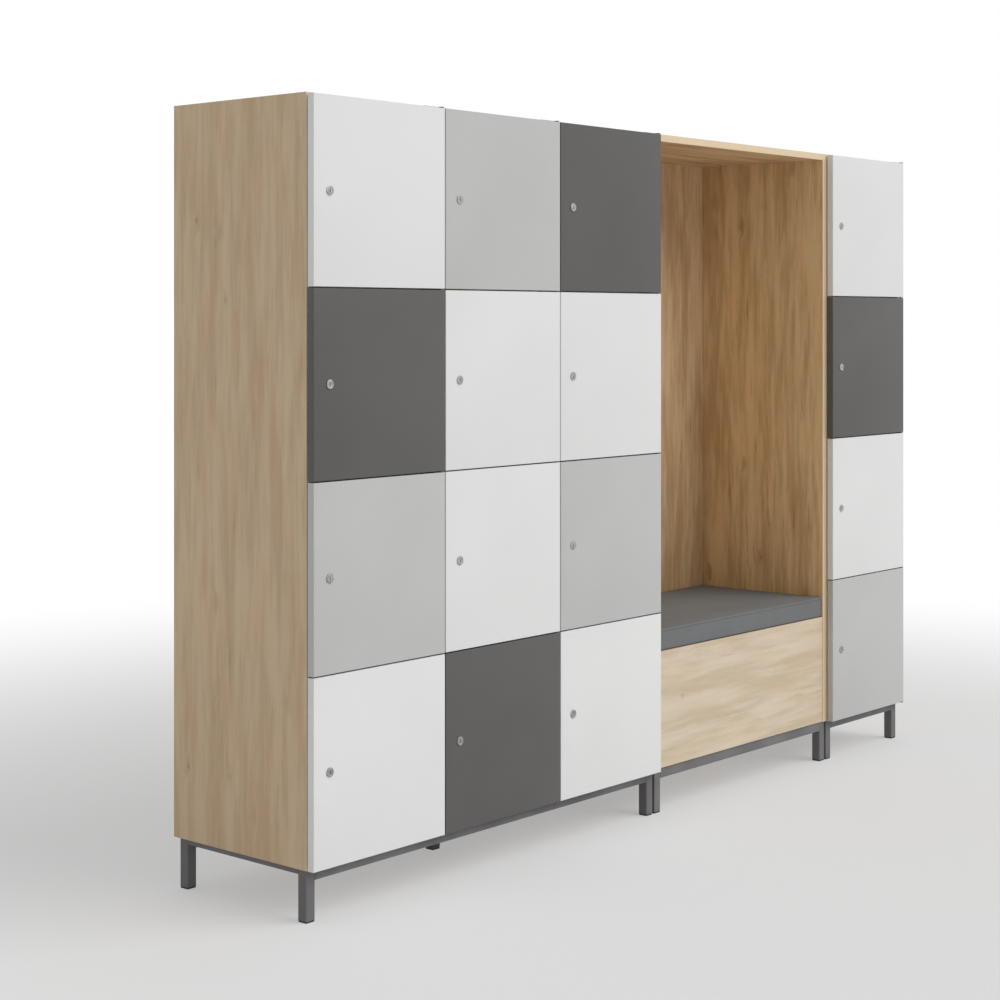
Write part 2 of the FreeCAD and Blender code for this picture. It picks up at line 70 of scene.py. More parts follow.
# The ranges in which nearly all values of a noise and of a cloudy noise lie
NOISE_SPAN = (0.3, 0.7)
CLOUD_SPAN = (0.35, 0.7)
TUBE_LEG = 0.025
RAIL_HEIGHT = 0.025
RAIL_DEPTH = 0.020
BEAD_RADIUS = 0.0021
BEAD_RIPPLES = 7
BEAD_WAIST = 0.82
BEAD_SIDES = 10
BASE_FRAMES = ("base_frame_left", "base_frame_middle", "base_frame_right")


def wire(tree, node, sockets):
    """Set sockets of a shader node, each to a value or to the output that feeds it."""
    for socket, value in sockets.items():
        if isinstance(value, bpy.types.NodeSocket):
            tree.links.new(value, node.inputs[socket])
        else:
            node.inputs[socket].default_value = value


def put(tree, kind, sockets, **settings):
    """Add a shader node to a tree."""
    node = tree.nodes.new(kind)
    for setting, value in settings.items():
        setattr(node, setting, value)
    wire(tree, node, sockets)
    return node


def blank_finish(name):
    """A new material with its tree, its one principled shader and the place that its pattern reads."""
    material = bpy.data.materials.new(name)
    material.use_nodes = True
    tree = material.node_tree
    place = put(tree, "ShaderNodeTexCoord", {}).outputs["Object"]
    return material, tree, tree.nodes["Principled BSDF"], place


def speckle(tree, place, scale, detail=2.0, roughness=0.5):
    """Cloudy noise from 0 to 1, with its scale in spots per metre."""
    sockets = {"Vector": place, "Scale": scale, "Detail": detail, "Roughness": roughness}
    return put(tree, "ShaderNodeTexNoise", sockets).outputs[0]


def remap(tree, value, span, result=(0, 1)):
    """Carry a value smoothly from one range to another, held at both ends."""
    low, high = span
    start, end = result
    sockets = {"Value": value, "From Min": low, "From Max": high, "To Min": start, "To Max": end}
    return put(tree, "ShaderNodeMapRange", sockets, interpolation_type="SMOOTHSTEP").outputs["Result"]


def mix_colour(tree, amount, first, second, way="MIX"):
    sockets = {"Factor": amount, 6: first, 7: second}
    return put(tree, "ShaderNodeMix", sockets, data_type="RGBA", blend_type=way).outputs[2]


def emboss(tree, height, depth):
    """A bumped normal from a height of 0 to 1 and its depth in metres."""
    return put(tree, "ShaderNodeBump", {"Height": height, "Distance": depth}).outputs["Normal"]


def powder_coat():
    material, tree, shader, place = blank_finish("powder_coat")
    grain = speckle(tree, place, COAT_GRAIN)
    cloud = speckle(tree, place, COAT_CLOUDS, detail=4)
    wire(tree, shader, {
        "Base Color": mix_colour(tree, remap(tree, cloud, CLOUD_SPAN), COAT_GREY, COAT_GREY_WORN),
        "Roughness": remap(tree, grain, NOISE_SPAN, COAT_ROUGHNESS),
        "Normal": emboss(tree, grain, COAT_GRAIN_DEPTH),
        "Specular IOR Level": COAT_SHINE,
    })
    return material


def select_only(piece):
    bpy.ops.object.select_all(action="DESELECT")
    piece.select_set(True)
    bpy.context.view_layer.objects.active = piece


def settle(name):
    """Name the active new primitive and put its place into its mesh."""
    piece = bpy.context.object
    piece.name = name
    piece.data.name = name
    bpy.ops.object.transform_apply(location=True, rotation=True, scale=True)
    return piece


def pick_edges(piece, is_wanted):
    """Go into edit mode with only the edges selected whose two ends pass the test."""
    bpy.ops.object.mode_set(mode="EDIT")
    bpy.ops.mesh.select_mode(type="EDGE")
    bpy.ops.mesh.select_all(action="DESELECT")
    bpy.ops.object.mode_set(mode="OBJECT")
    points = piece.data.vertices
    for edge in piece.data.edges:
        first, second = edge.vertices
        edge.select = bool(is_wanted(points[first].co, points[second].co))
    bpy.ops.object.mode_set(mode="EDIT")


def copy_piece(master, name, offset, turn=Matrix.Identity(4)):
    """A copy with its own mesh, turned and then moved inside that mesh."""
    piece = master.copy()
    piece.data = master.data.copy()
    piece.name = name
    piece.data.name = name
    piece.data.transform(Matrix.Translation(offset) @ turn)
    bpy.context.collection.objects.link(piece)
    return piece


def join_pieces(name, pieces):
    select_only(pieces[0])
    for piece in pieces:
        piece.select_set(True)
    bpy.ops.object.join()
    joined = bpy.context.object
    joined.name = name
    joined.data.name = name
    return joined


def dress(piece, material, body):
    """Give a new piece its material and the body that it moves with."""
    piece.data.materials.clear()
    piece.data.materials.append(material)
    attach(piece, body)
    return piece


def coat_node(name, material):
    """Give a carried-over solid its finish."""
    nodes[name].data.materials[0] = material


def weld_bead(name, centre):
    """A bead along y, drawn in between its ripples."""
    bpy.ops.object.select_all(action="DESELECT")
    length = RAIL_DEPTH - 2 * BEAD_RADIUS
    bpy.ops.mesh.primitive_cylinder_add(vertices=BEAD_SIDES, radius=BEAD_RADIUS, depth=length,
                                        location=centre, rotation=(math.radians(90), 0, 0))
    bead = settle(name)
    pick_edges(bead, lambda a, b: abs(a.y - b.y) > length / 2)
    bpy.ops.mesh.subdivide(number_cuts=2 * BEAD_RIPPLES)
    bpy.ops.object.mode_set(mode="OBJECT")
    step = length / (2 * BEAD_RIPPLES + 1)
    for ring in range(0, 2 * BEAD_RIPPLES + 2, 2):
        ring_y = centre.y - length / 2 + ring * step
        pick_edges(bead, lambda a, b: abs(a.y - ring_y) < step / 4 and abs(b.y - ring_y) < step / 4)
        bpy.ops.transform.resize(value=(BEAD_WAIST, 1, BEAD_WAIST), center_override=centre)
        bpy.ops.object.mode_set(mode="OBJECT")
    bpy.ops.object.shade_smooth_by_angle(angle=math.radians(60))
    return bead


frame_coat = powder_coat()
for name in BASE_FRAMES:
    coat_node(name, frame_coat)

bead_places = []
for name in BASE_FRAMES:
    low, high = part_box(name)
    for corner_x in (low.x + TUBE_LEG, high.x - TUBE_LEG):
        for rail_y in (low.y + RAIL_DEPTH / 2, high.y - RAIL_DEPTH / 2):
            bead_places.append(Vector((corner_x, rail_y, high.z - RAIL_HEIGHT)))
first_bead = weld_bead("base_frame_welds", bead_places[0])
beads = [first_bead]
for number, bead_place in enumerate(bead_places[1:], start=2):
    beads.append(copy_piece(first_bead, f"weld_{number}", bead_place - bead_places[0]))
dress(join_pieces("base_frame_welds", beads), frame_coat, "carcass")


# Foot glides. Moulded nylon plugs pressed into the open ends of the legs, black and slightly grained, each
# with a pad that stands on the floor.
NYLON_BLACK = (0.018, 0.018, 0.019, 1)
NYLON_SCUFF = (0.045, 0.044, 0.043, 1)
NYLON_GRAIN = 1600
NYLON_GRAIN_DEPTH = 0.00005
NYLON_SCUFFS = 60
NYLON_SCUFF_SPAN = (0.5, 0.75)
NYLON_ROUGHNESS = (0.45, 0.62)


def moulded_nylon():
    material, tree, shader, place = blank_finish("moulded_nylon")
    grain = speckle(tree, place, NYLON_GRAIN)
    scuff = speckle(tree, place, NYLON_SCUFFS, detail=5, roughness=0.65)
    wire(tree, shader, {
        "Base Color": mix_colour(tree, remap(tree, scuff, NYLON_SCUFF_SPAN), NYLON_BLACK, NYLON_SCUFF),
        "Roughness": remap(tree, scuff, NOISE_SPAN, NYLON_ROUGHNESS),
        "Normal": emboss(tree, grain, NYLON_GRAIN_DEPTH),
    })
    return material


coat_node("foot_glides", moulded_nylon())


# Carcasses of the two lockers. Chipboard faced with an oak decor: sides and dividers with upright grain,
# tops, bottoms and shelves with the grain along the front, dowelled and glued at the butts. The front edges
# carry a paler glued-on edging, made paler still as painted light against the shadow the doors cast on it.
OAK_PALE = (0.627, 0.474, 0.313, 1)
OAK_BROWN = (0.530, 0.381, 0.236, 1)
OAK_DARK = (0.250, 0.150, 0.072, 1)
OAK_ROSY = (1.000, 0.925, 0.880, 1)
# Paler than the decor, and paler still as painted light against the doors' shadow on the edging
EDGING_PALE_AND_PAINTED_LIGHT = (0.780, 0.622, 0.420, 1)
EDGING_THICK = 0.0011
EDGING_SHARE = 0.9
# Width and length of each mark in the decor
BAND = (0.040, 0.42)
STREAK = (0.014, 0.15)
FIBRE = (0.0022, 0.060)
DASH = (0.0045, 0.055)
FLAME = (0.012, 0.17)
DRIFT = (0.045, 0.17)
WANDER = (0.16, 0.45)
KNOT_CELL = (0.095, 0.165)
WANDER_REACH = 0.014
KNOT_REACH = 0.009
# How near a knot's middle, in cells, its halo and its heart lie, and which cells have grown a knot
KNOT_HALO = (0.04, 0.26)
KNOT_HEART = (0.020, 0.085)
KNOT_GROWN = (0.30, 0.65)
HEART_SHARE = 0.58
BAND_SHARE = 0.55
STREAK_SHARE = 0.45
WOOD_SPAN = (0.36, 0.62)
ROSY_SPAN = (0.42, 0.68)
ROSY_SHARE = 0.65
# Where each kind of dark mark shows, and how dark it is
FLAME_MARKS = ((0.58, 0.76), 0.40)
DASH_MARKS = ((0.65, 0.80), 0.12)
FIBRE_MARKS = ((0.42, 0.74), 0.06)
HALO_MARKS = ((0.10, 1.00), 0.16)
PORE_SPAN = (0.62, 0.76)
PORE_DEPTH = 0.00008
OAK_ROUGHNESS = (0.52, 0.40)
OAK_SHINE = 0.4
CALM_FIGURE = 0.6
UPRIGHT_BOARDS = ("left_locker_left_side", "left_locker_right_side", "left_locker_dividers",
                  "right_locker_sides")
LEVEL_BOARDS = ("left_locker_bottom", "left_locker_top", "right_locker_bottom", "right_locker_top",
                "locker_shelves")


def drawn_out(tree, place, mark):
    """The place counted in widths and lengths of a mark that is drawn out along z."""
    width, length = mark
    return put(tree, "ShaderNodeVectorMath", {0: place, 1: (1 / width, 1 / width, 1 / length)},
               operation="MULTIPLY").outputs[0]


def arithmetic(tree, operation, first, second):
    return put(tree, "ShaderNodeMath", {0: first, 1: second}, operation=operation).outputs[0]


def shifted(tree, place, amount):
    return put(tree, "ShaderNodeVectorMath", {0: place, 1: amount}, operation="ADD").outputs[0]


def oak_decor():
    """Group that draws oak with its grain along z: bands, streaks, fibres, dashes, flames and knots."""
    group = bpy.data.node_groups.new("oak_decor", "ShaderNodeTree")
    for socket, way, kind in (
        ("Place", "INPUT", "NodeSocketVector"),
        ("Pale", "INPUT", "NodeSocketColor"),
        ("Brown", "INPUT", "NodeSocketColor"),
        ("Figure", "INPUT", "NodeSocketFloat"),
        ("Colour", "OUTPUT", "NodeSocketColor"),
        ("Roughness", "OUTPUT", "NodeSocketFloat"),
        ("Height", "OUTPUT", "NodeSocketFloat"),
    ):
        group.interface.new_socket(socket, in_out=way, socket_type=kind)
    given = group.nodes.new("NodeGroupInput").outputs
    place = given["Place"]

    # The grain wanders a little, and swings aside at the knots
    wander = put(group, "ShaderNodeTexNoise", {"Vector": drawn_out(group, place, WANDER), "Scale": 1})
    sway = put(group, "ShaderNodeVectorMath", {0: wander.outputs["Color"],
                                               1: (WANDER_REACH, WANDER_REACH, 0)}, operation="MULTIPLY")
    swayed = shifted(group, place, sway.outputs[0])
    knot = put(group, "ShaderNodeTexVoronoi", {"Vector": drawn_out(group, swayed, KNOT_CELL), "Scale": 1})
    from_knot = knot.outputs["Distance"]
    grown = remap(group, knot.outputs["Color"], KNOT_GROWN)
    halo = arithmetic(group, "MULTIPLY", grown, remap(group, from_knot, KNOT_HALO, (1, 0)))
    heart = arithmetic(group, "MULTIPLY", grown, remap(group, from_knot, KNOT_HEART, (1, 0)))
    aside = arithmetic(group, "MULTIPLY", halo, KNOT_REACH)
    grain = shifted(group, swayed, put(group, "ShaderNodeCombineXYZ", {"X": aside, "Y": aside}).outputs[0])

    bands = speckle(group, drawn_out(group, grain, BAND), 1, detail=2)
    streaks = speckle(group, drawn_out(group, grain, STREAK), 1, detail=4, roughness=0.62)
    fibres = speckle(group, drawn_out(group, grain, FIBRE), 1)
    dashes = speckle(group, drawn_out(group, grain, DASH), 1, detail=1)
    flames = speckle(group, drawn_out(group, grain, FLAME), 1, detail=3, roughness=0.6)
    drift = speckle(group, drawn_out(group, place, DRIFT), 1, detail=1)

    # Light and dark wood, then a rosy cast here and there, then the dark marks
    tone = arithmetic(group, "ADD", arithmetic(group, "MULTIPLY", bands, BAND_SHARE),
                      arithmetic(group, "MULTIPLY", streaks, STREAK_SHARE))
    wood = mix_colour(group, remap(group, tone, WOOD_SPAN), given["Brown"], given["Pale"])
    wood = mix_colour(group, remap(group, drift, ROSY_SPAN, (0, ROSY_SHARE)), wood, OAK_ROSY, "MULTIPLY")
    marks = 0
    for mask, (span, share) in ((flames, FLAME_MARKS), (dashes, DASH_MARKS), (fibres, FIBRE_MARKS),
                                (halo, HALO_MARKS)):
        marks = arithmetic(group, "ADD", marks, remap(group, mask, span, (0, share)))
    marks = arithmetic(group, "MULTIPLY", marks, given["Figure"])
    marks = arithmetic(group, "MAXIMUM", marks, arithmetic(group, "MULTIPLY", heart, HEART_SHARE))
    wood = mix_colour(group, marks, wood, OAK_DARK)

    wire(group, group.nodes.new("NodeGroupOutput"), {
        "Colour": wood,
        "Roughness": remap(group, streaks, NOISE_SPAN, OAK_ROUGHNESS),
        "Height": arithmetic(group, "SUBTRACT", fibres, remap(group, dashes, PORE_SPAN)),
    })
    return group


oak_group = oak_decor()
carcass_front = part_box("left_locker_left_side")[0].y
GRAIN_TURN = {"up": (0, 0, 0), "along": (0, math.radians(-90), 0)}


def oak_board(name, grain, shift=(0, 0, 0), pale=OAK_PALE, brown=OAK_BROWN, figure=CALM_FIGURE,
              edging=True):
    """Oak decor on a board, with its grain up or along the front and its edging on the front edge."""
    material, tree, shader, place = blank_finish(name)
    turned_place = put(tree, "ShaderNodeMapping", {"Vector": place, "Location": shift,
                                                   "Rotation": GRAIN_TURN[grain]})
    decor = put(tree, "ShaderNodeGroup", {}, node_tree=oak_group)
    wire(tree, decor, {"Place": turned_place.outputs[0], "Pale": pale, "Brown": brown, "Figure": figure})
    colour = decor.outputs["Colour"]
    if edging:
        depth = put(tree, "ShaderNodeSeparateXYZ", {"Vector": place}).outputs["Y"]
        on_edging = remap(tree, depth, (carcass_front, carcass_front + EDGING_THICK), (EDGING_SHARE, 0))
        # The edging colour is partly painted light, against the shadow that the doors cast beside them
        colour = mix_colour(tree, on_edging, colour, EDGING_PALE_AND_PAINTED_LIGHT)
    wire(tree, shader, {
        "Base Color": colour,
        "Roughness": decor.outputs["Roughness"],
        "Normal": emboss(tree, decor.outputs["Height"], PORE_DEPTH),
        "Specular IOR Level": OAK_SHINE,
    })
    return material


upright_oak = oak_board("oak_upright", "up")
level_oak = oak_board("oak_level", "along")
for name in UPRIGHT_BOARDS:
    coat_node(name, upright_oak)
for name in LEVEL_BOARDS:
    coat_node(name, level_oak)


# Locker backs. Thin hardboard panels set in between the sides, with a pale lacquer towards the compartments
# and the bare brown fibre face to the rear.
LACQUER_PALE = (0.600, 0.575, 0.530, 1)
LACQUER_SHADE = (0.540, 0.515, 0.470, 1)
FIBRE_BROWN = (0.235, 0.150, 0.086, 1)
FIBRE_DARK = (0.165, 0.100, 0.055, 1)
FIBRE_SPECKS = 330
FIBRE_SPAN = (0.35, 0.65)
FIBRE_DEPTH = 0.00012
LACQUER_CLOUDS = 7
LACQUER_ROUGHNESS = 0.42
FIBRE_ROUGHNESS = 0.75
FACE_BLEND = 0.0005


def lacquered_hardboard():
    material, tree, shader, place = blank_finish("lacquered_hardboard")
    low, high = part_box("locker_backs")
    middle = (low.y + high.y) / 2
    depth = put(tree, "ShaderNodeSeparateXYZ", {"Vector": place}).outputs["Y"]
    rear = remap(tree, depth, (middle - FACE_BLEND, middle + FACE_BLEND))
    fibre = speckle(tree, place, FIBRE_SPECKS, detail=5, roughness=0.7)
    cloud = speckle(tree, place, LACQUER_CLOUDS, detail=3)
    lacquer = mix_colour(tree, remap(tree, cloud, CLOUD_SPAN), LACQUER_PALE, LACQUER_SHADE)
    brown = mix_colour(tree, remap(tree, fibre, FIBRE_SPAN), FIBRE_DARK, FIBRE_BROWN)
    wire(tree, shader, {
        "Base Color": mix_colour(tree, rear, lacquer, brown),
        "Roughness": remap(tree, rear, (0, 1), (LACQUER_ROUGHNESS, FIBRE_ROUGHNESS)),
        "Normal": emboss(tree, fibre, FIBRE_DEPTH),
    })
    return material


coat_node("locker_backs", lacquered_hardboard())


# Hinge brackets, pins and strikes. Bent from steel strip: powder-coated brackets on the front edges of the
# boards carry the pivot pins in the gaps between the doors, and zinc-plated angles on the left walls catch
# the lock cams. Each is held by two countersunk cross-head screws.
ZINC_LIGHT = (0.560, 0.565, 0.575, 1)
ZINC_DARK = (0.430, 0.435, 0.450, 1)
ZINC_SPANGLES = 420
ZINC_SPANGLE_SPAN = (0, 0.7)
ZINC_CLOUDS = 45
ZINC_ROUGHNESS = (0.30, 0.46)
SCREW_RADIUS = 0.0028
SCREW_PROUD = 0.0003
SCREW_SUNK = 0.0014
SCREW_EASE = 0.8 * SCREW_PROUD
SCREW_TAPER = 0.5
CROSS_WIDTH = 0.0008
CROSS_LENGTH = 0.0034
CROSS_DEPTH = 0.0008
COLUMNS = 4
ROWS = 4
DOOR_GAP = 0.003
PIVOT_FROM_EDGE = 0.006
BRACKET_THICK = 0.002
BRACKET_SCREWS_LEFT = (0.040, 0.020)
LOWEST_BRACKET_SCREW_RISE = 0.0055
MIDDLE_BRACKET_SCREW_RISE = 0.0033
TOP_BRACKET_SCREW_DROP = 0.0085
BOARD_THICK = 0.018
STRIKE_THICK = 0.002
STRIKE_SCREW_RISE = 0.0125
STRIKE_SCREW_BACK = 0.0245


def plated_steel():
    material, tree, shader, place = blank_finish("plated_steel")
    spangle = put(tree, "ShaderNodeTexVoronoi", {"Vector": place, "Scale": ZINC_SPANGLES})
    cloud = speckle(tree, place, ZINC_CLOUDS, detail=4, roughness=0.6)
    wire(tree, shader, {
        "Base Color": mix_colour(tree, remap(tree, cloud, NOISE_SPAN), ZINC_DARK, ZINC_LIGHT),
        "Metallic": 1.0,
        "Roughness": remap(tree, spangle.outputs["Distance"], ZINC_SPANGLE_SPAN, ZINC_ROUGHNESS),
    })
    return material


def new_box(name, low, high):
    """A box primitive between two corners."""
    bpy.ops.object.select_all(action="DESELECT")
    bpy.ops.mesh.primitive_cube_add(size=1, location=(low + high) / 2)
    bpy.context.object.scale = high - low
    return settle(name)


def carve(piece, cutter):
    """Cut one mesh out of another and remove the cutter."""
    select_only(piece)
    cut = piece.modifiers.new("cut", "BOOLEAN")
    cut.operation = "DIFFERENCE"
    cut.solver = "EXACT"
    cut.object = cutter
    bpy.ops.object.modifier_apply(modifier=cut.name)
    bpy.data.objects.remove(cutter)


def smooth_rounds(piece, degrees=35):
    select_only(piece)
    bpy.ops.object.shade_smooth_by_angle(angle=math.radians(degrees))


def cross_screw(name):
    """A countersunk screw at the origin whose head faces -y, with its cross recess."""
    bpy.ops.object.select_all(action="DESELECT")
    bpy.ops.mesh.primitive_cylinder_add(vertices=20, radius=SCREW_RADIUS, depth=SCREW_PROUD + SCREW_SUNK,
                                        location=(0, (SCREW_SUNK - SCREW_PROUD) / 2, 0),
                                        rotation=(math.radians(90), 0, 0))
    screw = settle(name)
    pick_edges(screw, lambda a, b: a.y < 0 and b.y < 0)
    bpy.ops.mesh.bevel(offset=SCREW_EASE, segments=2, affect="EDGES")
    bpy.ops.object.mode_set(mode="OBJECT")
    pick_edges(screw, lambda a, b: a.y > SCREW_SUNK / 2 and b.y > SCREW_SUNK / 2)
    bpy.ops.transform.resize(value=(SCREW_TAPER, 1, SCREW_TAPER), center_override=(0, 0, 0))
    bpy.ops.object.mode_set(mode="OBJECT")
    for half_x, half_z in ((CROSS_LENGTH / 2, CROSS_WIDTH / 2), (CROSS_WIDTH / 2, CROSS_LENGTH / 2)):
        slot_low = Vector((-half_x, -2 * SCREW_PROUD, -half_z))
        slot_high = Vector((half_x, CROSS_DEPTH, half_z))
        carve(screw, new_box("cross_slot", slot_low, slot_high))
    smooth_rounds(screw)
    return screw


def scatter(name, master, places, turn=Matrix.Identity(4)):
    """Join copies of a master at many places, and remove the master."""
    copies = [copy_piece(master, f"{name}_{number}", place, turn) for number, place in enumerate(places)]
    bpy.data.objects.remove(master)
    return join_pieces(name, copies)


def door_node(column, row):
    return f"door_col{column}_row{row}"


zinc = plated_steel()
coat_node("hinge_brackets", frame_coat)
for name in ("hinge_pins", "lock_strikes"):
    coat_node(name, zinc)

bracket_screws = []
for column in range(1, COLUMNS + 1):
    for line in range(ROWS + 1):
        if line == ROWS:
            low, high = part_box(door_node(column, ROWS))
            screw_z = high.z + DOOR_GAP - TOP_BRACKET_SCREW_DROP
        else:
            low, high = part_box(door_node(column, line + 1))
            screw_z = low.z + (MIDDLE_BRACKET_SCREW_RISE if line else LOWEST_BRACKET_SCREW_RISE)
        pivot_x = high.x - PIVOT_FROM_EDGE
        for left in BRACKET_SCREWS_LEFT:
            bracket_screws.append((pivot_x - left, carcass_front - BRACKET_THICK, screw_z))
screws = scatter("hinge_bracket_screws", cross_screw("bracket_screw"), bracket_screws)
dress(screws, zinc, "carcass")

strike_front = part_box("lock_strikes")[0].y
strike_screws = []
for column in range(1, COLUMNS + 1):
    wall = BOARD_THICK if column in (1, COLUMNS) else BOARD_THICK / 2
    for row in range(1, ROWS + 1):
        low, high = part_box(door_node(column, row))
        flange_x = low.x - DOOR_GAP / 2 + wall + STRIKE_THICK
        middle_z = (low.z + high.z) / 2
        for rise in (-STRIKE_SCREW_RISE, STRIKE_SCREW_RISE):
            strike_screws.append((flange_x, strike_front + STRIKE_SCREW_BACK, middle_z + rise))
face_right = Matrix.Rotation(math.radians(90), 4, "Z")
screws = scatter("lock_strike_screws", cross_screw("strike_screw"), strike_screws, face_right)
dress(screws, zinc, "carcass")


# Doors. Boards faced with a plain laminate in white, light grey or dark grey, with a thin strip of the same
# colour glued round the edges and eased. Each is bored for its lock and, above and below, for its pivots.
LAMINATES = {
    "white_laminate": ((0.768, 0.768, 0.766, 1), (0.746, 0.746, 0.744, 1)),
    "light_grey_laminate": ((0.533, 0.532, 0.528, 1), (0.511, 0.510, 0.506, 1)),
    "dark_grey_laminate": ((0.119, 0.116, 0.113, 1), (0.109, 0.106, 0.103, 1)),
}
LAMINATE_PEARL = 900
LAMINATE_PEARL_DEPTH = 0.00004
LAMINATE_CLOUDS = 3.5
LAMINATE_ROUGHNESS = (0.36, 0.50)
LAMINATE_SHINE = 0.2
DOOR_THICK = 0.018
LOCK_PROUD = 0.002
LOCK_INSET = 0.0455
PIVOT_FROM_FACE = 0.0055
EDGE_ROUND = 0.0012
BACK_EDGE_ROUND = 0.0006
LOCK_BORE = 0.0082
BUSH_RADIUS = 0.0035
BUSH_LENGTH = 0.012
BORE_OVERRUN = 0.001


def laminate(name, colour, cloud_colour):
    """A satin melamine face with a fine pearl."""
    material, tree, shader, place = blank_finish(name)
    pearl = speckle(tree, place, LAMINATE_PEARL, detail=3, roughness=0.6)
    cloud = speckle(tree, place, LAMINATE_CLOUDS, detail=3)
    wire(tree, shader, {
        "Base Color": mix_colour(tree, remap(tree, cloud, NOISE_SPAN), colour, cloud_colour),
        "Roughness": remap(tree, pearl, NOISE_SPAN, LAMINATE_ROUGHNESS),
        "Normal": emboss(tree, pearl, LAMINATE_PEARL_DEPTH),
        "Specular IOR Level": LAMINATE_SHINE,
    })
    return material


def bore(piece, radius, start, end):
    """Drill a round hole between two points, along y or z."""
    along_y = abs(end.y - start.y) > abs(end.z - start.z)
    tilt = math.radians(90) if along_y else 0
    bpy.ops.object.select_all(action="DESELECT")
    bpy.ops.mesh.primitive_cylinder_add(vertices=48, radius=radius, depth=(end - start).length,
                                        location=(start + end) / 2, rotation=(tilt, 0, 0))
    carve(piece, settle("drill"))


def lock_centre(node):
    """Where a door's lock axis meets its front face."""
    low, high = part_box(node)
    return Vector((low.x + LOCK_INSET, low.y + LOCK_PROUD, (low.z + high.z) / 2))


def door_panel(node):
    low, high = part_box(node)
    front = low.y + LOCK_PROUD
    back = front + DOOR_THICK
    panel = new_box(node + "_panel", Vector((low.x, front, low.z)), Vector((high.x, back, high.z)))
    middle_y = (front + back) / 2
    pick_edges(panel, lambda a, b: a.y < middle_y and b.y < middle_y)
    bpy.ops.mesh.bevel(offset=EDGE_ROUND, segments=4, affect="EDGES")
    bpy.ops.object.mode_set(mode="OBJECT")
    pick_edges(panel, lambda a, b: a.y > middle_y and b.y > middle_y)
    bpy.ops.mesh.bevel(offset=BACK_EDGE_ROUND, segments=2, affect="EDGES")
    bpy.ops.object.mode_set(mode="OBJECT")
    centre = lock_centre(node)
    through = Vector((0, BORE_OVERRUN, 0))
    bore(panel, LOCK_BORE, centre - through, centre + Vector((0, DOOR_THICK, 0)) + through)
    pivot = Vector((high.x - PIVOT_FROM_EDGE, front + PIVOT_FROM_FACE, 0))
    for inner, outer in ((low.z + BUSH_LENGTH, low.z - BORE_OVERRUN),
                         (high.z - BUSH_LENGTH, high.z + BORE_OVERRUN)):
        bore(panel, BUSH_RADIUS, pivot + Vector((0, 0, inner)), pivot + Vector((0, 0, outer)))
    smooth_rounds(panel)
    return panel


def node_slot(node):
    """The record's material slot of a node."""
    return nodes[node].data.materials[0].name


laminates = {}
for slot, (colour, cloud_colour) in LAMINATES.items():
    laminates[slot] = laminate(slot + "_finish", colour, cloud_colour)
first_door = door_node(1, 1)
first_panel = door_panel(first_door)
first_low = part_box(first_door)[0]
door_nodes = [door_node(column, row) for column in range(1, COLUMNS + 1) for row in range(1, ROWS + 1)]
for node in door_nodes:
    panel = first_panel
    if node != first_door:
        panel = copy_piece(first_panel, node + "_panel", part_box(node)[0] - first_low)
    slot = node_slot(node)
    dress(panel, laminates[slot], node)
    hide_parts(node)


# Lock housings and pivot bushes. Turned and die-cast metal pressed or nutted into the doors: a bevelled
# rose round the plug, the barrel with its hexagon nut behind the door, and a bush in each end of the pivot
# edge. The solid plugs with their cams take the same nickel.
NICKEL_LIGHT = (0.470, 0.465, 0.457, 1)
NICKEL_DARK = (0.315, 0.311, 0.305, 1)
NICKEL_BRUSHING = 1400
NICKEL_CLOUDS = 160
NICKEL_ROUGHNESS = (0.24, 0.38)
ROSE_RADIUS = 0.010
ROSE_BEVEL = 0.0008
PLUG_HEAD_RADIUS = 0.0065
PLUG_HEAD_SEAT = 0.0020
PLUG_RADIUS = 0.005
BARREL_RADIUS = 0.008
BARREL_PAST_DOOR = 0.010
NUT_RADIUS = 0.0125
NUT_THICK = 0.004
NUT_CHAMFER = 0.0006
PIN_RADIUS = 0.002
TURNING_GAP = 0.00006


def satin_nickel():
    material, tree, shader, place = blank_finish("satin_nickel")
    brushed = speckle(tree, place, NICKEL_BRUSHING, detail=3)
    cloud = speckle(tree, place, NICKEL_CLOUDS, detail=3)
    wire(tree, shader, {
        "Base Color": mix_colour(tree, remap(tree, cloud, NOISE_SPAN), NICKEL_DARK, NICKEL_LIGHT),
        "Metallic": 1.0,
        "Roughness": remap(tree, brushed, NOISE_SPAN, NICKEL_ROUGHNESS),
    })
    return material


def turned(name, start, direction, profile, sides=48):
    """Turn a closed ring: a circle is carried through (radius, distance) points and back to the first."""
    axis = Vector(direction)
    tilt = (math.radians(90), 0, 0) if axis.y else (0, 0, 0)
    radius, distance = profile[0]
    bpy.ops.object.select_all(action="DESELECT")
    bpy.ops.mesh.primitive_circle_add(vertices=sides, radius=radius, location=start + axis * distance,
                                      rotation=tilt)
    piece = settle(name)
    bpy.ops.object.mode_set(mode="EDIT")
    bpy.ops.mesh.select_all(action="SELECT")
    for next_radius, next_distance in profile[1:] + profile[:1]:
        step = axis * (next_distance - distance)
        bpy.ops.mesh.extrude_region_move(TRANSFORM_OT_translate={"value": step})
        grow = next_radius / radius
        bpy.ops.transform.resize(value=(grow, grow, grow), center_override=start + axis * next_distance)
        radius, distance = next_radius, next_distance
    bpy.ops.mesh.select_all(action="SELECT")
    bpy.ops.mesh.remove_doubles(threshold=TURNING_GAP / 4)
    bpy.ops.mesh.normals_make_consistent(inside=False)
    bpy.ops.object.mode_set(mode="OBJECT")
    smooth_rounds(piece)
    return piece


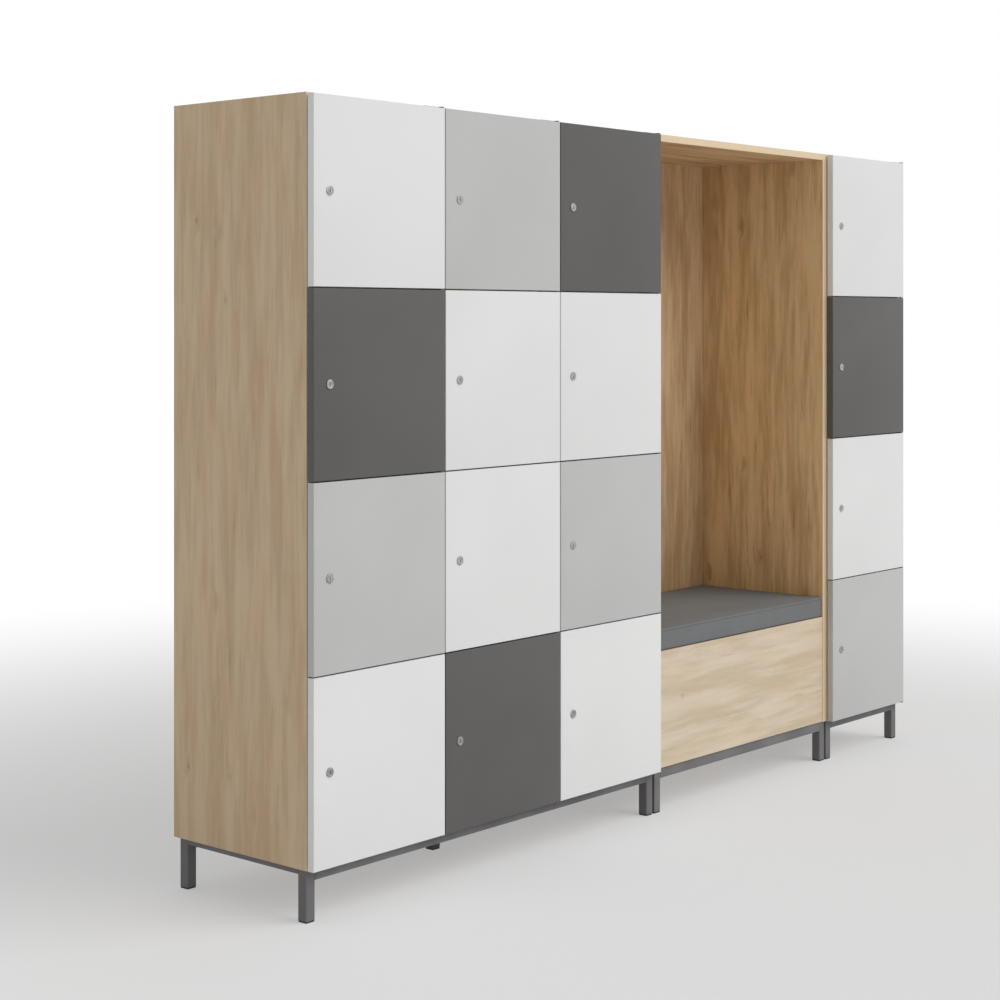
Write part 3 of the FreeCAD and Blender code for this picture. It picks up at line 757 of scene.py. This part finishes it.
def door_hardware(node):
    """Lock housing, nut and bushes of one door, joined."""
    low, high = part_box(node)
    centre = lock_centre(node)
    plug_bore = PLUG_RADIUS + TURNING_GAP
    head_bore = PLUG_HEAD_RADIUS + TURNING_GAP
    barrel_end = DOOR_THICK + BARREL_PAST_DOOR
    housing = turned("housing", centre, (0, 1, 0), [
        (ROSE_RADIUS - ROSE_BEVEL, -LOCK_PROUD),
        (ROSE_RADIUS - ROSE_BEVEL / 4, -LOCK_PROUD + ROSE_BEVEL / 4),
        (ROSE_RADIUS, -LOCK_PROUD + ROSE_BEVEL),
        (ROSE_RADIUS, 0),
        (BARREL_RADIUS, 0),
        (BARREL_RADIUS, barrel_end),
        (plug_bore, barrel_end),
        (plug_bore, PLUG_HEAD_SEAT - LOCK_PROUD),
        (head_bore, PLUG_HEAD_SEAT - LOCK_PROUD),
        (head_bore, -LOCK_PROUD + ROSE_BEVEL / 4),
        (head_bore + ROSE_BEVEL / 4, -LOCK_PROUD),
    ])
    nut_hole = BARREL_RADIUS + TURNING_GAP
    nut = turned("nut", centre, (0, 1, 0), [
        (nut_hole, DOOR_THICK),
        (NUT_RADIUS - NUT_CHAMFER, DOOR_THICK),
        (NUT_RADIUS, DOOR_THICK + NUT_CHAMFER),
        (NUT_RADIUS, DOOR_THICK + NUT_THICK - NUT_CHAMFER),
        (NUT_RADIUS - NUT_CHAMFER, DOOR_THICK + NUT_THICK),
        (nut_hole, DOOR_THICK + NUT_THICK),
    ], sides=6)
    pivot = Vector((high.x - PIVOT_FROM_EDGE, centre.y + PIVOT_FROM_FACE, 0))
    pin_bore = PIN_RADIUS + TURNING_GAP
    bushes = []
    for base in (low.z, high.z - BUSH_LENGTH):
        bushes.append(turned("bush", pivot + Vector((0, 0, base)), (0, 0, 1), [
            (pin_bore, 0),
            (BUSH_RADIUS, 0),
            (BUSH_RADIUS, BUSH_LENGTH),
            (pin_bore, BUSH_LENGTH),
        ]))
    return join_pieces(node + "_hardware", [housing, nut] + bushes)


nickel = satin_nickel()
first_hardware = door_hardware(first_door)
for node in door_nodes:
    hardware = first_hardware
    if node != first_door:
        hardware = copy_piece(first_hardware, node + "_hardware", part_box(node)[0] - first_low)
    dress(hardware, nickel, node)
    coat_node(node.replace("door", "lock"), nickel)


# Door bumpers. Clear rubber dots stuck to the back of each door near its left edge, where they meet the
# carcass and keep the door its stand-off away.
BUMPER_RADIUS = 0.0036
BUMPER_HEIGHT = 0.0028
BUMPER_INSET = 0.0055
BUMPER_RISE = 0.040
RUBBER_CLEAR = (0.620, 0.630, 0.630, 1)
RUBBER_DUSTY = (0.480, 0.480, 0.470, 1)
RUBBER_DUST = 700
RUBBER_DUST_SPAN = (0.4, 0.7)
RUBBER_ROUGHNESS = (0.22, 0.40)
RUBBER_CLEARNESS = 0.55


def clear_rubber():
    material, tree, shader, place = blank_finish("clear_rubber")
    dust = speckle(tree, place, RUBBER_DUST, detail=4)
    wire(tree, shader, {
        "Base Color": mix_colour(tree, remap(tree, dust, RUBBER_DUST_SPAN), RUBBER_CLEAR, RUBBER_DUSTY),
        "Roughness": remap(tree, dust, NOISE_SPAN, RUBBER_ROUGHNESS),
        "Transmission Weight": RUBBER_CLEARNESS,
    })
    return material


def bumper_dome(name, centre):
    """A low dome on the door's back, from a sphere cut at its base and flattened."""
    bpy.ops.object.select_all(action="DESELECT")
    bpy.ops.mesh.primitive_uv_sphere_add(segments=20, ring_count=12, radius=BUMPER_RADIUS, location=centre,
                                         rotation=(math.radians(90), 0, 0))
    dome = settle(name)
    bpy.ops.object.mode_set(mode="EDIT")
    bpy.ops.mesh.select_all(action="SELECT")
    bpy.ops.mesh.bisect(plane_co=centre, plane_no=(0, 1, 0), clear_inner=True, use_fill=True)
    bpy.ops.mesh.select_all(action="SELECT")
    bpy.ops.transform.resize(value=(1, BUMPER_HEIGHT / BUMPER_RADIUS, 1), center_override=centre)
    bpy.ops.object.mode_set(mode="OBJECT")
    smooth_rounds(dome, 50)
    return dome


rubber = clear_rubber()
dome = bumper_dome("bumper_dome", Vector((0, 0, 0)))
for node in door_nodes:
    low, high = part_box(node)
    back = low.y + LOCK_PROUD + DOOR_THICK
    dots = []
    for height in (low.z + BUMPER_RISE, high.z - BUMPER_RISE):
        dots.append(copy_piece(dome, f"{node}_dot", Vector((low.x + BUMPER_INSET, back, height))))
    dress(join_pieces(node + "_bumpers", dots), rubber, node)
bpy.data.objects.remove(dome)


# Seat niche. An open carcass of the same oak-faced board: sides and a thin back with upright grain, a top,
# a bottom and the seat board with the grain along the front. Its decor is drawn warmer than the lockers',
# as painted warm light bounced round the cavity, with livelier figure, and its sides are paler still, as
# painted light on their shaded inner faces.
# Painted light: warmer than the lockers' oak for light bounced round the cavity; side colours paler for
# their shade
NICHE_PALE_AND_PAINTED_BOUNCE = (0.735, 0.537, 0.318, 1)
NICHE_BROWN_AND_PAINTED_BOUNCE = (0.500, 0.330, 0.170, 1)
NICHE_SIDE_PALE_AND_PAINTED_LIGHT = (0.770, 0.570, 0.325, 1)
NICHE_SIDE_BROWN_AND_PAINTED_LIGHT = (0.540, 0.365, 0.183, 1)
PLAIN_FIGURE = 1.0
LIVELY_FIGURE = 1.4
# The sides take the paler colours, painted light on their shaded inner faces
niche_upright = oak_board("oak_niche_upright", "up", shift=(0.31, 0.17, 0.42), pale=NICHE_SIDE_PALE_AND_PAINTED_LIGHT,
                          brown=NICHE_SIDE_BROWN_AND_PAINTED_LIGHT, figure=LIVELY_FIGURE)
niche_back = oak_board("oak_niche_back", "up", shift=(0.83, 0.55, 1.27), pale=NICHE_PALE_AND_PAINTED_BOUNCE,
                       brown=NICHE_BROWN_AND_PAINTED_BOUNCE, figure=LIVELY_FIGURE, edging=False)
niche_level = oak_board("oak_niche_level", "along", shift=(0.57, 0.29, 0.11), pale=NICHE_PALE_AND_PAINTED_BOUNCE,
                        brown=NICHE_BROWN_AND_PAINTED_BOUNCE, figure=PLAIN_FIGURE)
coat_node("niche_left_side", niche_upright)
coat_node("niche_right_side", niche_upright)
coat_node("niche_back", niche_back)
for name in ("niche_top", "niche_bottom", "seat_board"):
    coat_node(name, niche_level)


# Seat cushion. A slab of foam in a grey wool felt cover, sewn as a box: the foam presses the cover out into
# a slight crown between its sewn edges, and a fine seam runs round just below the top. It lies loose on the
# seat board, close between the niche's sides.
FELT_MID = (0.183, 0.191, 0.194, 1)
FELT_LIGHT = (0.268, 0.279, 0.283, 1)
FELT_DARK = (0.108, 0.113, 0.115, 1)
FELT_THREAD = 0.0022
FELT_THREAD_MIX = (0.33, 0.33, 0.33)
FELT_THREAD_SHARE = 0.35
FELT_FLUFF = 1500
FELT_FLUFF_SPAN = (0.52, 0.74)
FELT_FLUFF_SHARE = 0.55
FELT_FIBRES = 420
FELT_FIBRE_SPAN = (0.50, 0.72)
FELT_FIBRE_SHARE = 0.55
FELT_CLOUDS = 14
FELT_CLOUD_SHARE = 0.12
FELT_ROUGHNESS = (0.86, 0.98)
FELT_SHINE = 0.05
FELT_SHEEN = 0.03
FELT_SHEEN_ROUGHNESS = 0.5
FELT_HEIGHT = 0.00035
FELT_CELL = 0.012
FOAM_SIDE_INSET = 0.0008
FOAM_TOP_INSET = 0.002
FOAM_CORNER = 0.006
FOAM_EDGE_ROUND = 0.0045
FELT_PRESSURE = 0.07
FELT_FRAMES = 20
SWELL_LIMIT = 0.0035
SEAM_WIDTH = 0.0016
SEAM_DEPTH = 0.0010


def wool_felt():
    """Grey felt: threads crossing in all three directions, with light and dark fibres mixed in."""
    material, tree, shader, place = blank_finish("wool_felt")
    turns = put(tree, "ShaderNodeVectorMath", {0: place, "Scale": 2 * math.pi / FELT_THREAD},
                operation="SCALE")
    waves = put(tree, "ShaderNodeVectorMath", {0: turns.outputs[0]}, operation="SINE")
    threads = put(tree, "ShaderNodeVectorMath", {0: waves.outputs[0], 1: FELT_THREAD_MIX},
                  operation="DOT_PRODUCT").outputs["Value"]
    fluff = speckle(tree, place, FELT_FLUFF, detail=4, roughness=0.7)
    fibres = speckle(tree, place, FELT_FIBRES, detail=5, roughness=0.75)
    cloud = speckle(tree, place, FELT_CLOUDS, detail=3)
    light = remap(tree, fibres, FELT_FIBRE_SPAN, (0, FELT_FIBRE_SHARE))
    dark = remap(tree, fluff, FELT_FLUFF_SPAN, (0, FELT_FLUFF_SHARE))
    shade = remap(tree, cloud, CLOUD_SPAN, (0, FELT_CLOUD_SHARE))
    felt = mix_colour(tree, light, FELT_MID, FELT_LIGHT)
    felt = mix_colour(tree, dark, felt, FELT_DARK)
    felt = mix_colour(tree, shade, felt, FELT_DARK)
    height = arithmetic(tree, "ADD", arithmetic(tree, "MULTIPLY", threads, FELT_THREAD_SHARE), fluff)
    wire(tree, shader, {
        "Base Color": felt,
        "Roughness": remap(tree, fibres, NOISE_SPAN, FELT_ROUGHNESS),
        "Normal": emboss(tree, height, FELT_HEIGHT),
        "Specular IOR Level": FELT_SHINE,
        "Sheen Weight": FELT_SHEEN,
        "Sheen Roughness": FELT_SHEEN_ROUGHNESS,
    })
    return material


def foam_slab(name, low, high):
    """The sewn shape: a slab divided into cells, with round corners, eased edges and its seam marked."""
    slab = new_box(name, low, high)
    size = high - low
    for axis in range(3):
        pick_edges(slab, lambda a, b: abs(a[axis] - b[axis]) > size[axis] / 2)
        bpy.ops.mesh.subdivide(number_cuts=round(size[axis] / FELT_CELL) - 1)
        bpy.ops.object.mode_set(mode="OBJECT")
    middle = (low + high) / 2
    in_corner = size / 2 - Vector((FELT_CELL, FELT_CELL, FELT_CELL)) / 2

    def at_corner(point):
        return abs(point.x - middle.x) > in_corner.x and abs(point.y - middle.y) > in_corner.y

    pick_edges(slab, lambda a, b: at_corner(a) and at_corner(b))
    bpy.ops.mesh.bevel(offset=FOAM_CORNER, segments=4, affect="EDGES")
    bpy.ops.mesh.select_all(action="DESELECT")
    bpy.ops.mesh.edges_select_sharp(sharpness=math.radians(60))
    bpy.ops.mesh.bevel(offset=FOAM_EDGE_ROUND, segments=3, affect="EDGES")
    bpy.ops.object.mode_set(mode="OBJECT")
    seam_z = high.z - FOAM_EDGE_ROUND
    seam_reach = FOAM_EDGE_ROUND / 9
    pick_edges(slab, lambda a, b: abs(a.z - seam_z) < seam_reach and abs(b.z - seam_z) < seam_reach)
    bpy.ops.mesh.mark_seam()
    bpy.ops.object.mode_set(mode="OBJECT")
    return slab


def puff_out(piece, walls_low, walls_high):
    """Let the foam press the cover out, held down at its base, within a limit and between the walls."""
    sewn = [point.co.copy() for point in piece.data.vertices]
    floor_z = min(point.z for point in sewn)
    select_only(piece)
    held = piece.vertex_groups.new(name="held_down")
    hold_z = floor_z + FOAM_EDGE_ROUND / 2
    held.add([number for number, point in enumerate(sewn) if point.z < hold_z], 1.0, "REPLACE")
    cloth = piece.modifiers.new("cover", "CLOTH")
    cloth.settings.use_pressure = True
    cloth.settings.uniform_pressure_force = FELT_PRESSURE
    cloth.settings.vertex_group_mass = held.name
    cloth.settings.effector_weights.gravity = 0
    cloth.point_cache.frame_end = FELT_FRAMES
    for frame_number in range(1, FELT_FRAMES + 1):
        bpy.context.scene.frame_set(frame_number)
    bpy.ops.object.modifier_apply(modifier=cloth.name)
    bpy.context.scene.frame_set(1)
    piece.vertex_groups.clear()
    for start, point in zip(sewn, piece.data.vertices):
        move = point.co - start
        if move.length > SWELL_LIMIT:
            move *= SWELL_LIMIT / move.length
        point.co = start + move
        point.co.x = min(max(point.co.x, walls_low.x), walls_high.x)
        point.co.y = min(max(point.co.y, walls_low.y), walls_high.y)
        point.co.z = max(point.co.z, floor_z)


def press_in_seam(piece):
    """Press a fine channel into the cover along its marked seam."""
    bpy.ops.object.mode_set(mode="EDIT")
    bpy.ops.mesh.select_mode(type="EDGE")
    bpy.ops.mesh.select_all(action="DESELECT")
    bpy.ops.object.mode_set(mode="OBJECT")
    for edge in piece.data.edges:
        edge.select = edge.use_seam
    bpy.ops.object.mode_set(mode="EDIT")
    bpy.ops.mesh.bevel(offset=SEAM_WIDTH / 2, segments=1, affect="EDGES")
    bpy.ops.mesh.select_mode(type="FACE")
    bpy.ops.mesh.extrude_region_shrink_fatten(TRANSFORM_OT_shrink_fatten={"value": -SEAM_DEPTH})
    bpy.ops.object.mode_set(mode="OBJECT")


low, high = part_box("seat_cushion")
side_inset = Vector((FOAM_SIDE_INSET, FOAM_SIDE_INSET, 0))
foam_low = low + side_inset
foam_high = high - side_inset - Vector((0, 0, FOAM_TOP_INSET))
cushion = foam_slab("seat_cushion_cover", foam_low, foam_high)
puff_out(cushion, low, high)
select_only(cushion)
smooth = cushion.modifiers.new("smooth", "SUBSURF")
smooth.levels = 1
smooth.render_levels = 1
bpy.ops.object.modifier_apply(modifier=smooth.name)
press_in_seam(cushion)
smooth_rounds(cushion, 50)
dress(cushion, wool_felt(), "carcass")
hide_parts("seat_cushion")


# Drawer. A handleless oak-faced front with the grain along it, screwed to a box of thin pale boards that
# runs on zinc-plated slides.
FRONT_PALE = (0.684, 0.583, 0.446, 1)
FRONT_BROWN = (0.582, 0.470, 0.333, 1)
BOX_PALE = (0.640, 0.615, 0.565, 1)
BOX_SHADE = (0.580, 0.552, 0.500, 1)
LINEN = (0.0020, 0.011)
LINEN_DEPTH = 0.00005
FOIL_CLOUDS = 6
FOIL_ROUGHNESS = (0.42, 0.58)


def drawer_foil():
    """Pale foil with a fine linen print, as on bought-in drawer boards."""
    material, tree, shader, place = blank_finish("drawer_foil")
    linen = speckle(tree, drawn_out(tree, place, LINEN), 1)
    cloud = speckle(tree, place, FOIL_CLOUDS, detail=3)
    wire(tree, shader, {
        "Base Color": mix_colour(tree, remap(tree, cloud, NOISE_SPAN), BOX_PALE, BOX_SHADE),
        "Roughness": remap(tree, linen, NOISE_SPAN, FOIL_ROUGHNESS),
        "Normal": emboss(tree, linen, LINEN_DEPTH),
    })
    return material


coat_node("drawer_front", oak_board("oak_drawer_front", "along", shift=(0.21, 0.53, 0.63), pale=FRONT_PALE,
                                    brown=FRONT_BROWN, edging=False))
coat_node("drawer_box", drawer_foil())
coat_node("drawer_runner_rails", zinc)
coat_node("drawer_runner_slides", zinc)


# Floor. A plain pale studio floor that runs out into white all round, so that only the shadow of the object
# shows on it. To the camera it also glows a little, which keeps that shadow light.
FLOOR_PALE = (0.820, 0.820, 0.820, 1)
FLOOR_ROUGHNESS = 0.9
FLOOR_SIZE = 60
FADE_START = 1.5
FADE_END = 4.2
GLOW_SHARE = 0.52
GLOW_LEVEL = 0.70


def seen_directly(tree):
    """1 on what the camera sees, also in a mirror or through glass, and 0 on what only gives light."""
    rays = put(tree, "ShaderNodeLightPath", {}).outputs
    seen = arithmetic(tree, "MAXIMUM", rays["Is Camera Ray"], rays["Is Glossy Ray"])
    return arithmetic(tree, "MAXIMUM", seen, rays["Is Transmission Ray"])


def studio_floor():
    material, tree, shader, place = blank_finish("studio_floor")
    wire(tree, shader, {"Base Color": FLOOR_PALE, "Roughness": FLOOR_ROUGHNESS})
    radius = put(tree, "ShaderNodeVectorMath", {0: place}, operation="LENGTH").outputs["Value"]
    away = remap(tree, radius, (FADE_START, FADE_END))
    seen = seen_directly(tree)
    glow = put(tree, "ShaderNodeEmission", {"Strength": GLOW_LEVEL})
    lifted = put(tree, "ShaderNodeMixShader", {0: arithmetic(tree, "MULTIPLY", seen, GLOW_SHARE),
                                               1: shader.outputs[0], 2: glow.outputs[0]})
    white = put(tree, "ShaderNodeEmission", {"Strength": 1.0})
    fade = put(tree, "ShaderNodeMixShader", {0: arithmetic(tree, "MULTIPLY", away, seen),
                                             1: lifted.outputs[0], 2: white.outputs[0]})
    tree.links.new(fade.outputs[0], tree.nodes["Material Output"].inputs["Surface"])
    return material


bpy.ops.object.select_all(action="DESELECT")
bpy.ops.mesh.primitive_plane_add(size=FLOOR_SIZE)
floor = settle("floor")
floor.data.materials.append(studio_floor())
floor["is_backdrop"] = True


# Light. A white room gives most of it, and one broad, distant and very soft lamp in front, high and to the
# right, brightens the fronts evenly and leaves the left side in half shade.
ROOM_LIGHT = 0.50
LAMP_STRENGTH = 1.65
LAMP_SPREAD = math.radians(50)
LAMP_HEIGHT = math.radians(42)
LAMP_TO_RIGHT = math.radians(32)

world = bpy.data.worlds.new("white_room")
bpy.context.scene.world = world
world.use_nodes = True
tree = world.node_tree
strength = remap(tree, seen_directly(tree), (0, 1), (ROOM_LIGHT, 1))
wire(tree, tree.nodes["Background"], {"Color": (1, 1, 1, 1), "Strength": strength})

bpy.ops.object.light_add(type="SUN", rotation=(math.radians(90) - LAMP_HEIGHT, 0, LAMP_TO_RIGHT))
lamp = bpy.context.object
lamp.name = "soft_lamp"
lamp.data.energy = LAMP_STRENGTH
lamp.data.angle = LAMP_SPREAD


# Camera. A level view from the front left, with the frame shifted down so that the uprights stay upright.
CAMERA_PLACE = (-3.9968, -3.1462, 1.2392)
CAMERA_HEADING = math.radians(-49.052)
CAMERA_LENS = 70.9
CAMERA_SHIFT = -0.179

bpy.ops.object.camera_add(location=CAMERA_PLACE, rotation=(math.radians(90), 0, CAMERA_HEADING))
camera = bpy.context.object
camera.data.lens = CAMERA_LENS
camera.data.shift_y = CAMERA_SHIFT
bpy.context.scene.camera = camera
bpy.context.scene.view_settings.view_transform = "Standard"


# The bounds of the dressed object, without the floor.
low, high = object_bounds()
